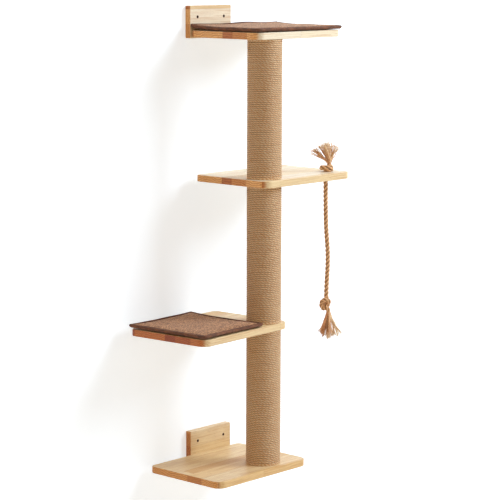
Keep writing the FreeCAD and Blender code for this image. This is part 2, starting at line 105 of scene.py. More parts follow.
# Node helpers: a node with its settings and inputs, where an input is a value or another output.
def put(tree, kind, inputs=None, **settings):
    node = tree.nodes.new(kind)
    for name, value in settings.items():
        setattr(node, name, value)
    for name, value in (inputs or {}).items():
        if isinstance(value, bpy.types.NodeSocket):
            tree.links.new(value, node.inputs[name])
        else:
            node.inputs[name].default_value = value
    return node


def calc(tree, operation, *values):
    return put(tree, "ShaderNodeMath", dict(enumerate(values)), operation=operation).outputs[0]


def mixColour(tree, factor, first, second, way="MIX"):
    # The colour sockets of the Mix node are its seventh and eighth.
    ends = {0: factor, 6: first, 7: second}
    return put(tree, "ShaderNodeMix", ends, data_type="RGBA", blend_type=way).outputs[2]


def ramp(tree, value, low, high, bottom=0.0, top=1.0):
    ends = {"Value": value, "From Min": low, "From Max": high, "To Min": bottom, "To Max": top}
    return put(tree, "ShaderNodeMapRange", ends, interpolation_type="SMOOTHSTEP").outputs[0]


def noise(tree, vector, scale, detail=3.0, roughness=0.55):
    inputs = {"Vector": vector, "Scale": scale, "Detail": detail, "Roughness": roughness}
    return put(tree, "ShaderNodeTexNoise", inputs).outputs["Fac"]


def vectorCalc(tree, operation, *values):
    return put(tree, "ShaderNodeVectorMath", dict(enumerate(values)), operation=operation).outputs


def stretched(tree, vector, factors):
    return vectorCalc(tree, "MULTIPLY", vector, factors)[0]


def combined(tree, *parts):
    return put(tree, "ShaderNodeCombineXYZ", dict(enumerate(parts))).outputs[0]


def parted(tree, vector):
    return put(tree, "ShaderNodeSeparateXYZ", {0: vector}).outputs


def onObject(tree):
    return put(tree, "ShaderNodeTexCoord").outputs["Object"]


def seenDirectly(tree):
    # The light path's outputs, and 1 for the rays that show a surface as it is.
    rays = put(tree, "ShaderNodeLightPath").outputs
    seen = calc(tree, "MAXIMUM", rays["Is Camera Ray"], rays["Is Glossy Ray"])
    return rays, calc(tree, "MAXIMUM", seen, rays["Is Transmission Ray"])


def rgb(red, green, blue):
    # A colour as a picture shows it, from 0 to 255, made linear for the shader.
    linear = []
    for value in (red / 255, green / 255, blue / 255):
        linear.append(value / 12.92 if value < 0.04045 else ((value + 0.055) / 1.055) ** 2.4)
    return (*linear, 1.0)


def newGroup(name, inputs, outputs):
    group = bpy.data.node_groups.new(name, "ShaderNodeTree")
    for socket, kind, value in inputs:
        made = group.interface.new_socket(name=socket, in_out="INPUT", socket_type=kind)
        if value is not None:
            made.default_value = value
    for socket in outputs:
        group.interface.new_socket(name=socket, in_out="OUTPUT", socket_type="NodeSocketFloat")
    return group, group.nodes.new("NodeGroupInput").outputs, group.nodes.new("NodeGroupOutput").inputs


def newMaterial(name, roughness=0.6, **values):
    material = bpy.data.materials.new(name)
    material.use_nodes = True
    shader = material.node_tree.nodes["Principled BSDF"]
    shader.inputs["Roughness"].default_value = roughness
    for socket, value in values.items():
        shader.inputs[socket.replace("_", " ")].default_value = value
    return material, material.node_tree, shader


def bumpInto(tree, shader, height, distance, strength=1.0):
    bump = put(tree, "ShaderNodeBump", {"Height": height, "Distance": distance, "Strength": strength})
    tree.links.new(bump.outputs[0], shader.inputs["Normal"])


# Wood: strips glued edge to edge, each made of blocks joined end to end by small fingers. Every
# block has its own tone and its own growth rings, which show as lines on the long faces and as
# arcs on the ends.
stripWood = {
    "stripWidth": 0.047,
    "widthWander": 0.009,
    "widthPeriod": 0.127,
    "blockLength": 0.31,
    "fingerPitch": 0.005,
    "fingerLength": 0.009,
    "jointWidth": 0.0005,
    "ringSpacing": 0.0052,
    "pale": rgb(242, 230, 204),
    "honey": rgb(234, 207, 158),
    "russet": rgb(192, 138, 80),
    "poreColour": rgb(140, 96, 58),
    "jointColour": rgb(140, 94, 54),
    "endTint": (1.15, 0.77, 0.38, 1.0),
    "endTintDark": (0.78, 0.39, 0.15, 1.0),
    "endRing": rgb(168, 104, 56),
    "blockStagger": 7.3,  # block lengths from one strip to the next, times the strip's chance
    "ownShift": (3.1, 0.09, 0.07),  # how far a block's figure is moved at most
    "streakScale": (9, 260, 260),
    "waverScale": (4.5, 26, 26),
    "poreScale": (95, 1700, 1700),
    "pithReach": (0.06, 0.12, 0),
    "ringWaver": 0.024,
    "darkBlocks": 0.35,
    "streakDepth": 0.4,
    "ringDepth": (0.16, 0.6),  # on the long faces and on the ends
    "poreDepth": 0.3,
    "jointDepth": 0.4,
    "endFrom": (0.55, 0.92),  # how squarely a face looks along the grain to count as an end
}

floatSocket = "NodeSocketFloat"
vectorSocket = "NodeSocketVector"

stripFigure, given, out = newGroup("stripFigure", [
    ("Position", vectorSocket, None),
    ("Strip Width", floatSocket, stripWood["stripWidth"]),
    ("Block Length", floatSocket, stripWood["blockLength"]),
], ["Tone", "Streak", "Rings", "Pores", "Joint"])
tree = stripFigure
axes = parted(tree, given["Position"])
wander = calc(tree, "SINE", calc(tree, "MULTIPLY", axes[1], 2 * math.pi / stripWood["widthPeriod"]))
acrossStrips = calc(tree, "MULTIPLY_ADD", wander, stripWood["widthWander"], axes[1])
acrossStrips = calc(tree, "DIVIDE", acrossStrips, given["Strip Width"])
strip = calc(tree, "FLOOR", acrossStrips)
stripChance = put(tree, "ShaderNodeTexWhiteNoise", {"W": strip}, noise_dimensions="1D").outputs["Value"]
fingers = calc(tree, "PINGPONG", axes[1], stripWood["fingerPitch"] / 2)
fingers = calc(tree, "MULTIPLY", fingers, 2 * stripWood["fingerLength"] / stripWood["fingerPitch"])
along = calc(tree, "DIVIDE", calc(tree, "ADD", axes[0], fingers), given["Block Length"])
along = calc(tree, "MULTIPLY_ADD", stripChance, stripWood["blockStagger"], along)
blockPlace = combined(tree, strip, calc(tree, "FLOOR", along))
chances = put(tree, "ShaderNodeTexWhiteNoise", {"Vector": blockPlace}, noise_dimensions="2D").outputs
offCentre = stretched(tree, chances["Color"], stripWood["ownShift"])
ownPlace = vectorCalc(tree, "ADD", given["Position"], offCentre)[0]
streak = noise(tree, stretched(tree, ownPlace, stripWood["streakScale"]), 1.0, 5.0, 0.62)
waver = noise(tree, stretched(tree, ownPlace, stripWood["waverScale"]), 1.0, 2.0, 0.45)
inStrip = calc(tree, "SUBTRACT", calc(tree, "FRACT", acrossStrips), 0.5)
inBlock = stretched(tree, combined(tree, inStrip, axes[2]), (stripWood["stripWidth"], 1, 0))
pith = vectorCalc(tree, "ADD", chances["Color"], (-0.5, -0.5, 0))[0]
fromPith = vectorCalc(tree, "ADD", inBlock, stretched(tree, pith, stripWood["pithReach"]))[0]
radius = vectorCalc(tree, "LENGTH", fromPith)["Value"]
radius = calc(tree, "MULTIPLY_ADD", waver, stripWood["ringWaver"], radius)
rings = calc(tree, "SINE", calc(tree, "MULTIPLY", radius, 2 * math.pi / stripWood["ringSpacing"]))
pores = noise(tree, stretched(tree, ownPlace, stripWood["poreScale"]), 1.0, 1.0)


def nearStep(value, size):
    # A mask of the thin joint where value passes a whole number.
    off = calc(tree, "ABSOLUTE", calc(tree, "SUBTRACT", calc(tree, "FRACT", value), 0.5))
    width = calc(tree, "DIVIDE", stripWood["jointWidth"] / 2, size)
    return calc(tree, "GREATER_THAN", off, calc(tree, "SUBTRACT", 0.5, width))


joint = calc(tree, "MAXIMUM", nearStep(acrossStrips, given["Strip Width"]),
             nearStep(along, given["Block Length"]))
tree.links.new(chances["Value"], out["Tone"])
tree.links.new(streak, out["Streak"])
tree.links.new(calc(tree, "MULTIPLY_ADD", rings, 0.5, 0.5), out["Rings"])
tree.links.new(ramp(tree, pores, 0.6, 0.72), out["Pores"])
tree.links.new(joint, out["Joint"])


def makeWood(name, shift=(0, 0, 0), turn=(0, 0, 0), shade=(1, 1, 1, 1), endShade=(1, 1, 1, 1), shadedHoles=()):
    material, tree, shader = newMaterial(name, roughness=0.42, Coat_Weight=0.1, Coat_Roughness=0.3)
    place = put(tree, "ShaderNodeTexCoord").outputs
    angles = tuple(math.radians(angle) for angle in turn)
    onGrain = put(tree, "ShaderNodeMapping", {"Vector": place["Object"], "Location": shift,
                                              "Rotation": angles}).outputs[0]
    faceWay = put(tree, "ShaderNodeMapping", {"Vector": place["Normal"], "Rotation": angles},
                  vector_type="NORMAL").outputs[0]
    figure = put(tree, "ShaderNodeGroup", node_tree=stripFigure)
    tree.links.new(onGrain, figure.inputs["Position"])
    seen = figure.outputs
    atEnd = ramp(tree, calc(tree, "ABSOLUTE", parted(tree, faceWay)[0]), *stripWood["endFrom"])
    colour = mixColour(tree, ramp(tree, seen["Tone"], 0.1, 0.9), stripWood["pale"], stripWood["honey"])
    russets = (("Tone", 0.86, 1.0, "darkBlocks"), ("Streak", 0.46, 0.66, "streakDepth"))
    for part, low, high, depth in russets:
        share = ramp(tree, seen[part], low, high, 0.0, stripWood[depth])
        colour = mixColour(tree, share, colour, stripWood["russet"])
    ringDepth = ramp(tree, atEnd, 0.0, 1.0, *stripWood["ringDepth"])
    ringColour = mixColour(tree, atEnd, stripWood["russet"], stripWood["endRing"])
    colour = mixColour(tree, calc(tree, "MULTIPLY", seen["Rings"], ringDepth), colour, ringColour)
    for part, depth, line in (("Pores", "poreDepth", "poreColour"), ("Joint", "jointDepth", "jointColour")):
        share = calc(tree, "MULTIPLY", seen[part], stripWood[depth])
        colour = mixColour(tree, share, colour, stripWood[line])
    endTint = mixColour(tree, ramp(tree, seen["Tone"], 0.3, 0.9), stripWood["endTint"],
                        stripWood["endTintDark"])
    ends = mixColour(tree, 1.0, colour, endTint, "MULTIPLY")
    ends = mixColour(tree, 1.0, ends, endShade, "MULTIPLY")
    colour = mixColour(tree, atEnd, mixColour(tree, 1.0, colour, shade, "MULTIPLY"), ends)
    onFace = stretched(tree, place["Object"], (1, 0, 1))
    # Painted shade: the wood is painted dark in a ring around each screw hole.
    for hole in shadedHoles:
        away = vectorCalc(tree, "DISTANCE", onFace, (hole[0], 0, hole[2]))["Value"]
        rim = ramp(tree, away, *screwHoles["rim"], 1.0, 0.0)
        colour = mixColour(tree, rim, colour, screwHoles["dark"])
    tree.links.new(colour, shader.inputs["Base Color"])
    tree.links.new(ramp(tree, seen["Streak"], 0.3, 0.7, 0.38, 0.52), shader.inputs["Roughness"])
    height = calc(tree, "SUBTRACT", seen["Streak"], calc(tree, "ADD", seen["Pores"], seen["Joint"]))
    bumpInto(tree, shader, height, 0.00008)
    return material


# Jute: the fibres of a twisted yarn or rope. Their map has the share of a turn around the rope as
# its first number and the metres along it as its second. Whole numbers added to the first choose
# one of ten tones.
jute = {
    "map": "alongRope",
    "wrapPale": rgb(255, 230, 186),
    "wrapDark": rgb(224, 160, 104),
    "ropePale": rgb(252, 206, 156),
    "ropeDark": rgb(206, 156, 108),
    "yarnPale": rgb(255, 232, 194),
    "yarnDark": rgb(214, 150, 100),
    "fleck": rgb(252, 232, 196),
    # Painted shade: the colour of the darkened grooves between strands and between turns.
    "grooveShade": rgb(110, 68, 36),
    "fibresAround": 7.0,
    "fibresAlong": 90.0,
    "unevenAlong": 31.0,
    "unevenTurns": 2.6,
    "toneAlong": 22.0,
}

juteFibre, given, out = newGroup("juteFibre", [
    ("Place", vectorSocket, None),
    ("Plies", floatSocket, 3.0),
    ("Lay", floatSocket, 0.012),
], ["Ply", "Fibre", "Fleck", "Long Tone", "Own Tone", "Groove Shade"])
tree = juteFibre
axes = parted(tree, given["Place"])
turns = calc(tree, "ADD", calc(tree, "MULTIPLY", axes[0], given["Plies"]),
             calc(tree, "DIVIDE", axes[1], given["Lay"]))


def alongNoise(scale):
    # Noise that changes only along the rope.
    return noise(tree, combined(tree, 0.0, calc(tree, "MULTIPLY", axes[1], scale)), 1.0, 2.0)


turns = calc(tree, "MULTIPLY_ADD", alongNoise(jute["unevenAlong"]), jute["unevenTurns"], turns)
ply = calc(tree, "COSINE", calc(tree, "MULTIPLY", turns, 2 * math.pi))
fibrePlace = combined(tree, calc(tree, "MULTIPLY", turns, jute["fibresAround"]),
                      calc(tree, "MULTIPLY", axes[1], jute["fibresAlong"]))
# Painted shade: the side of each strand or turn that faces its neighbours is marked for darkening as a groove.
fromOutside = calc(tree, "ABSOLUTE", calc(tree, "SUBTRACT", axes[0], 0.25))
tree.links.new(calc(tree, "MULTIPLY_ADD", ply, 0.5, 0.5), out["Ply"])
tree.links.new(noise(tree, fibrePlace, 1.0, 4.0, 0.65), out["Fibre"])
tree.links.new(ramp(tree, noise(tree, fibrePlace, 2.3, 2.0), 0.6, 0.75), out["Fleck"])
tree.links.new(alongNoise(jute["toneAlong"]), out["Long Tone"])
tree.links.new(calc(tree, "MULTIPLY", calc(tree, "FLOOR", axes[0]), 0.1), out["Own Tone"])
tree.links.new(ramp(tree, fromOutside, 0.12, 0.24), out["Groove Shade"])


def makeJute(name, pale, dark, plies, lay, plyDepth, sheen=0.12, ownTone=0.0, grooveShade=0.0,
             toneSpan=(0.45, 1.05), fibreDepth=0.4):
    material, tree, shader = newMaterial(name, roughness=0.65, Sheen_Weight=sheen, Sheen_Roughness=0.4)
    place = put(tree, "ShaderNodeUVMap", uv_map=jute["map"]).outputs[0]
    fibres = put(tree, "ShaderNodeGroup", node_tree=juteFibre)
    tree.links.new(place, fibres.inputs["Place"])
    fibres.inputs["Plies"].default_value = plies
    fibres.inputs["Lay"].default_value = lay
    seen = fibres.outputs
    # Painted shade and highlight: the ply term makes the colour paler on the ply crests and darker in the hollows
    # between plies, following the bump; the fibre, long and own tones vary at random.
    shade = calc(tree, "MULTIPLY_ADD", seen["Ply"], 0.4, calc(tree, "MULTIPLY", seen["Fibre"], 0.8))
    shade = calc(tree, "MULTIPLY_ADD", seen["Long Tone"], 0.3, shade)
    shade = calc(tree, "MULTIPLY_ADD", calc(tree, "SUBTRACT", seen["Own Tone"], 0.5), ownTone, shade)
    colour = mixColour(tree, ramp(tree, shade, *toneSpan), dark, pale)
    colour = mixColour(tree, calc(tree, "MULTIPLY", seen["Fleck"], 0.6), colour, jute["fleck"])
    # Painted shade in the grooves between strands and between turns.
    colour = mixColour(tree, calc(tree, "MULTIPLY", seen["Groove Shade"], grooveShade), colour, jute["grooveShade"])
    tree.links.new(colour, shader.inputs["Base Color"])
    height = calc(tree, "MULTIPLY_ADD", seen["Fibre"], fibreDepth, seen["Ply"])
    bumpInto(tree, shader, height, plyDepth)
    return material


wrapJute = makeJute("wrapJute", jute["wrapPale"], jute["wrapDark"], 3, 0.0085, 0.0007, grooveShade=0.5,
                    toneSpan=(0.54, 0.94), fibreDepth=2.2)
ropeJute = makeJute("ropeJute", jute["ropePale"], jute["ropeDark"], 6, 0.004, 0.0002, grooveShade=0.75)
yarnJute = makeJute("yarnJute", jute["yarnPale"], jute["yarnDark"], 2, 0.007, 0.00015, ownTone=0.9)


# Pads: speckled plush on top, a woven tape bound around the edge, and its thread.
plush = {
    "light": rgb(216, 164, 118),
    "middle": rgb(158, 106, 70),
    "dark": rgb(104, 64, 40),
    "speckSize": 0.0022,
    "tape": rgb(138, 84, 52),
    "tapeDark": rgb(80, 44, 26),
    "thread": rgb(150, 100, 66),
}


def makePlush():
    material, tree, shader = newMaterial("speckledPlush", roughness=0.95, Sheen_Weight=0.2,
                                         Sheen_Roughness=0.45)
    place = onObject(tree)
    tufts = put(tree, "ShaderNodeTexVoronoi", {"Vector": place, "Scale": 1 / plush["speckSize"]})
    chance = put(tree, "ShaderNodeSeparateColor", {0: tufts.outputs["Color"]}).outputs[0]
    cloud = noise(tree, place, 60.0, 4.0, 0.6)
    chance = calc(tree, "MULTIPLY_ADD", cloud, 0.7, calc(tree, "MULTIPLY", chance, 0.65))
    colour = mixColour(tree, ramp(tree, chance, 0.34, 0.62), plush["dark"], plush["middle"])
    colour = mixColour(tree, ramp(tree, chance, 0.64, 0.86), colour, plush["light"])
    pile = noise(tree, place, 1900.0, 2.0, 0.6)
    colour = mixColour(tree, ramp(tree, pile, 0.3, 0.7, 0.0, 0.25), colour, plush["dark"])
    tree.links.new(colour, shader.inputs["Base Color"])
    height = calc(tree, "SUBTRACT", calc(tree, "MULTIPLY", pile, 0.5), tufts.outputs["Distance"])
    bumpInto(tree, shader, height, 0.0006)
    return material


def makeTape():
    material, tree, shader = newMaterial("boundTape", roughness=0.75, Sheen_Weight=0.03,
                                         Sheen_Roughness=0.4)
    place = put(tree, "ShaderNodeUVMap", uv_map=jute["map"]).outputs[0]
    axes = parted(tree, place)
    weave = calc(tree, "MULTIPLY", calc(tree, "SINE", calc(tree, "MULTIPLY", axes[1], 7000.0)),
                 calc(tree, "SINE", calc(tree, "MULTIPLY", axes[0], 150.0)))
    wear = noise(tree, stretched(tree, place, (3, 45, 1)), 1.0, 4.0)
    colour = mixColour(tree, ramp(tree, wear, 0.35, 0.75), plush["tapeDark"], plush["tape"])
    colour = mixColour(tree, ramp(tree, weave, -0.4, 1.0, 0.0, 0.35), colour, plush["thread"])
    tree.links.new(colour, shader.inputs["Base Color"])
    bumpInto(tree, shader, weave, 0.00015)
    return material


speckledPlush = makePlush()
boundTape = makeTape()
tapeThread, threadTree, threadShader = newMaterial("tapeThread", roughness=0.6)
threadShade = mixColour(threadTree, noise(threadTree, onObject(threadTree), 900.0),
                        plush["tapeDark"], plush["thread"])
threadTree.links.new(threadShade, threadShader.inputs["Base Color"])


# The hidden pieces: wound paper tubes, zinc plated fasteners and hook strips under the pads.
hidden = {
    "paper": (rgb(150, 118, 84), rgb(196, 164, 126)),
    "steel": (rgb(176, 176, 172), rgb(214, 213, 206)),
    "hooks": (rgb(52, 48, 46), rgb(18, 16, 16)),
}


def makePaper():
    material, tree, shader = newMaterial("woundPaper", roughness=0.85)
    place = onObject(tree)
    fibre = noise(tree, stretched(tree, place, (300, 300, 900)), 1.0, 3.0)
    spiral = put(tree, "ShaderNodeTexWave", {"Vector": place, "Scale": 12.0, "Distortion": 1.5},
                 bands_direction="Z").outputs["Fac"]
    shade = calc(tree, "MULTIPLY_ADD", fibre, 0.6, calc(tree, "MULTIPLY", spiral, 0.3))
    colour = mixColour(tree, shade, *hidden["paper"])
    tree.links.new(colour, shader.inputs["Base Color"])
    bumpInto(tree, shader, shade, 0.0001)
    return material


def makeSteel():
    material, tree, shader = newMaterial("zincPlated", roughness=0.35, Metallic=1.0)
    place = onObject(tree)
    frost = noise(tree, place, 700.0, 3.0, 0.6)
    colour = mixColour(tree, frost, *hidden["steel"])
    tree.links.new(colour, shader.inputs["Base Color"])
    tree.links.new(ramp(tree, frost, 0.3, 0.7, 0.25, 0.42), shader.inputs["Roughness"])
    return material


def makeHookStrip():
    material, tree, shader = newMaterial("hookStrip", roughness=0.7)
    place = onObject(tree)
    hooks = put(tree, "ShaderNodeTexVoronoi", {"Vector": place, "Scale": 700.0}).outputs["Distance"]
    colour = mixColour(tree, ramp(tree, hooks, 0.1, 0.6), *hidden["hooks"])
    tree.links.new(colour, shader.inputs["Base Color"])
    bumpInto(tree, shader, hooks, 0.0006)
    return material


woundPaper = makePaper()
zincPlated = makeSteel()
hookStrip = makeHookStrip()
print("materials made")


# Every wooden CAD piece keeps its shape and gets its own stretch of wood. The wall boards have
# their strips one above the other, so their grain is turned a quarter about the line along the wall.
lowerTurn = 3.8  # degrees that the lower shelf is turned about the post
onEdge = (90, 0, 0)
screwHoles = {
    "apart": 0.0495,  # each one from the post's middle
    "belowTop": 0.029,
    # Painted shade: rim is a ring around each screw hole that is painted in the dark colour below, standing for
    # the shade in the hole.
    "rim": (0.0034, 0.0044),
    "dark": rgb(84, 52, 32),
}


def wallHoles(node):
    low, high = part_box(node)
    middle = (low.x + high.x) / 2
    return [(middle + side * screwHoles["apart"], high.y, high.z - screwHoles["belowTop"])
            for side in (-1, 1)]


woodPieces = {
    "base_shelf": makeWood("baseWood", shift=(0.13, 0.018, 0.4), shade=(0.96, 0.87, 0.7, 1),
                           endShade=(0.86, 0.76, 0.58, 1)),
    "lower_shelf": makeWood("lowerWood", shift=(0.31, 0.021, 0.8), turn=(0, 0, -lowerTurn),
                            shade=(0.94, 0.84, 0.66, 1), endShade=(0.66, 0.38, 0.2, 1)),
    "middle_shelf": makeWood("middleWood", shift=(0.07, 0.012, 1.3), shade=(1.02, 1.07, 1.14, 1)),
    "top_shelf": makeWood("topWood", shift=(0.22, 0.03, 1.9), shade=(1, 1.03, 1.07, 1)),
    "top_wall_board": makeWood("topBoardWood", shift=(0.4, 0.02, 2.3), turn=onEdge,
                               shadedHoles=wallHoles("top_wall_board")),
    "base_wall_board": makeWood("baseBoardWood", shift=(0.55, 0.03, 2.9), turn=onEdge,
                                shadedHoles=wallHoles("base_wall_board")),
}
plugWood = makeWood("plugWood", shift=(0.5, 0.2, 3.3))


def dress(node, material):
    piece = nodes[node]
    if not piece.material_slots:
        piece.data.materials.append(material)
    for slot in piece.material_slots:
        slot.material = material


slotMaterial = {"wood": plugWood, "tube": woundPaper, "steel": zincPlated, "grip": hookStrip,
                "jute": wrapJute, "rope": ropeJute, "pad": speckledPlush}
for entry in frame["record"]["subparts"]:
    name = entry["node"]
    dress(name, woodPieces.get(name, slotMaterial[entry["material_slot"]]))
print("CAD pieces dressed")


# Mesh helpers. A shape collects points, faces and, for each corner of a face, its place on the map.
def newShape():
    return {"points": [], "faces": [], "map": []}


def addGrid(shape, points, across, along, closeEnds=True):
    # Points are rows of rings: a tube's skin from ring to ring, with a cap at both of its ends.
    rings, sides = points.shape[:2]
    first = len(shape["points"])
    shape["points"].extend(points.reshape(-1, 3))
    for ring in range(rings - 1):
        for side in range(sides):
            after = (side + 1) % sides
            corners = ((ring, side, 0), (ring, after, 1), (ring + 1, after, 1), (ring + 1, side, 0))
            shape["faces"].append([first + r * sides + s for r, s, _ in corners])
            shape["map"].extend((across[side + step], along[r]) for r, _, step in corners)
    if closeEnds:
        for ring, order in ((0, range(sides - 1, -1, -1)), (rings - 1, range(sides))):
            shape["faces"].append([first + ring * sides + side for side in order])
            shape["map"].extend((across[side], along[ring]) for side in order)


def makePiece(name, shape, material, body):
    mesh = bpy.data.meshes.new(name)
    mesh.from_pydata([tuple(point) for point in shape["points"]], [], shape["faces"])
    layer = mesh.uv_layers.new(name=jute["map"])
    layer.data.foreach_set("uv", np.array(shape["map"], np.float32).ravel())
    mesh.polygons.foreach_set("use_smooth", [True] * len(mesh.polygons))
    mesh.materials.append(material)
    piece = newObject(name, mesh)
    if body:
        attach(piece, body)
    return piece


def lengthsAlong(points):
    steps = np.linalg.norm(np.diff(points, axis=0), axis=1)
    return np.concatenate([[0.0], np.cumsum(steps)])


def unit(vectors):
    return vectors / np.linalg.norm(vectors, axis=-1, keepdims=True)


def carriedFrames(points, start=(1.0, 0.0, 0.0)):
    # Two directions across a line at each of its points, that turn no more than the line makes them.
    ahead = unit(np.gradient(points, axis=0))
    side = np.array(start, float)
    sides = []
    for direction in ahead:
        side = side - direction * (side @ direction)
        side = side / np.linalg.norm(side)
        sides.append(side)
    sides = np.array(sides)
    return sides, np.cross(ahead, sides)


def sweep(shape, points, radius, sides, ridges=0, ridgeDepth=0.0, ridgeLay=1.0, shift=0.0, tone=0,
          across=None):
    # A round tube along points, with lengthwise ridges that wind around it if it has any. Across is
    # a pair of directions at each point, from which the turn around the tube is counted.
    one, other = carriedFrames(points) if across is None else across
    distance = lengthsAlong(points)
    around = np.linspace(0, 2 * math.pi, sides, endpoint=False)
    wave = 1 + ridgeDepth * np.cos(ridges * around[None] + 2 * math.pi * distance[:, None] / ridgeLay)
    reach = (np.broadcast_to(radius, len(points))[:, None] * wave)[..., None]
    skin = points[:, None] + reach * (np.cos(around)[None, :, None] * one[:, None]
                                      + np.sin(around)[None, :, None] * other[:, None])
    addGrid(shape, skin, tone + np.arange(sides + 1) / sides, distance + shift)


def smoothLine(controls, perRun=14):
    # The points of the NURBS line that has these control points.
    curve = bpy.data.curves.new("line", "CURVE")
    curve.dimensions = "3D"
    spline = curve.splines.new("NURBS")
    spline.points.add(len(controls) - 1)
    for point, control in zip(spline.points, controls):
        point.co = (*control, 1.0)
    spline.order_u = 3
    spline.use_endpoint_u = True
    spline.resolution_u = perRun
    line = bpy.data.objects.new("line", curve)
    mesh = bpy.data.meshes.new_from_object(line)
    points = np.array([vertex.co for vertex in mesh.vertices], float)
    bpy.data.objects.remove(line)
    bpy.data.curves.remove(curve)
    bpy.data.meshes.remove(mesh)
    return points


# Post: one jute rope wound around each section. Its first and last turn lie level on the shelves,
# and the turns between them climb by the rope's thickness.
wound = {
    "stepsPerTurn": 72,
    "sideWander": 0.00012,
    "outWander": 0.00022,
    "profile": (-90, -48, 0, 48, 90, 180),  # degrees around the rope, with 0 facing outward
}


def makeWrap(section, seed):
    low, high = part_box(f"{section}_wrap")
    coreLow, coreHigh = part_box(f"{section}_core")
    centre = (low + high) / 2
    thickness = ((high.x - low.x) - (coreHigh.x - coreLow.x)) / 2
    reach = (high.x - low.x) / 2 - thickness / 2
    turnCount = round((high.z - low.z) / thickness)
    climb = (high.z - low.z - thickness) / (turnCount - 1)
    steps = wound["stepsPerTurn"]
    turn = np.arange((turnCount + 1) * steps + 1) / steps
    angle = turn * 2 * math.pi
    height = np.clip(turn - 1, 0, turnCount - 1) * climb + low.z + thickness / 2
    inner = (turn > 1.3) & (turn < turnCount - 0.3)
    height = height + inner * wound["sideWander"] * (
        np.sin(angle * 0.137 + seed) + np.sin(angle * 0.731 + 2 * seed))
    outward = reach - wound["outWander"] * (1 + np.sin(angle * 0.219 + 3 * seed)
                                            * np.sin(angle * 0.593 + seed)) / 2
    profile = np.radians(wound["profile"])
    spread = outward[:, None] + thickness / 2 * np.cos(profile)[None]
    rise = height[:, None] + thickness / 2 * np.sin(profile)[None]
    points = np.stack([centre.x + spread * np.cos(angle)[:, None],
                       centre.y + spread * np.sin(angle)[:, None], rise], axis=-1)
    shape = newShape()
    share = np.append((profile + math.pi / 2) / (2 * math.pi), 1.0)
    addGrid(shape, points[:, ::-1], share[::-1], angle * reach)
    piece = makePiece(f"{section}_jute", shape, wrapJute, "frame")
    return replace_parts(piece, f"{section}_wrap")


for seed, section in enumerate(("lower_post", "middle_post", "upper_post"), start=1):
    makeWrap(section, seed)
print("post wound")


# Play rope. Three strands are laid together, and each strand shows its own yarns.
rope = {
    "diameter": 0.012,
    "lay": 0.0365,
    "strandShare": 0.248,  # strand radius over the rope's diameter
    "strandOffset": 0.284,  # strand centre from the rope's centre over the diameter
    "yarns": 7,
    "yarnDepth": 0.05,
    "yarnLay": -0.012,
    "bendRoom": 0.03,
    "strandSides": 28,
}

# The rope's route as in the CAD model, in metres from the point on which it swings.
ropeRoute = [
    (0.0, 0.0, -0.0064),
    (0.0, 0.0, -0.043),
    (0.0012, -0.0013, -0.125),
    (0.0050, -0.0054, -0.187),
    (0.0050, -0.0054, -0.235),
    (0.0029, -0.0031, -0.286),
    (0.0029, -0.0031, -0.3175),
]
swing = next(joint for joint in frame["joints"] if joint["name"] == "rope_swing_out")
swingPoint = Vector(swing["pos_m"])

# Directions across the picture and toward the camera, for knots and frayed ends.
yaw = math.radians(camera["turnToWall"])
rightward = np.array([math.cos(yaw), -math.sin(yaw), 0.0])
forward = np.array([-math.sin(yaw), -math.cos(yaw), 0.0])
upward = np.array([0.0, 0.0, 1.0])


def layRope(shape, points, diameter, startTurn=0.0, lay=rope["lay"], spacing=0.0011):
    # Returns where in its turn the rope ends, so that the next stretch can go on from there.
    distance = lengthsAlong(points)
    even = np.linspace(0, distance[-1], max(8, round(distance[-1] / spacing)))
    points = np.stack([np.interp(even, distance, points[:, axis]) for axis in range(3)], axis=1)
    one, other = carriedFrames(points)
    for strand in range(3):
        turn = 2 * math.pi * (strand / 3 + startTurn + even / lay)
        offset = rope["strandOffset"] * diameter
        outward = np.cos(turn)[:, None] * one + np.sin(turn)[:, None] * other
        centres = points + offset * outward
        side = unit(np.cross(outward, unit(np.gradient(centres, axis=0))))
        sweep(shape, centres, rope["strandShare"] * diameter, rope["strandSides"], rope["yarns"],
              rope["yarnDepth"], rope["yarnLay"], shift=3.7 * strand, across=(side, outward))
    return startTurn + distance[-1] / lay


def local(origin, right, front, up):
    # A point by its millimetres to the right, toward the camera and up from an origin.
    return origin + mm * (right * rightward + front * forward + up * upward)


shelfLow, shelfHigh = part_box("middle_shelf")
start = np.array(swingPoint) + np.array(ropeRoute[0])
holeShape = newShape()
holeLine = np.array([[swingPoint.x, swingPoint.y, z]
                     for z in np.linspace(shelfHigh.z + 0.006, start[2], 30)])
turnAtShelf = layRope(holeShape, holeLine, rope["diameter"])
holeRope = makePiece("rope_through_shelf", holeShape, ropeJute, None)

hangingLine = smoothLine([np.array(swingPoint) + np.array(point) for point in ropeRoute])
hangingShape = newShape()
layRope(hangingShape, hangingLine, rope["diameter"], turnAtShelf)
hangingRope = makePiece("play_rope", hangingShape, ropeJute, None)
ropeEnd = hangingLine[-1]

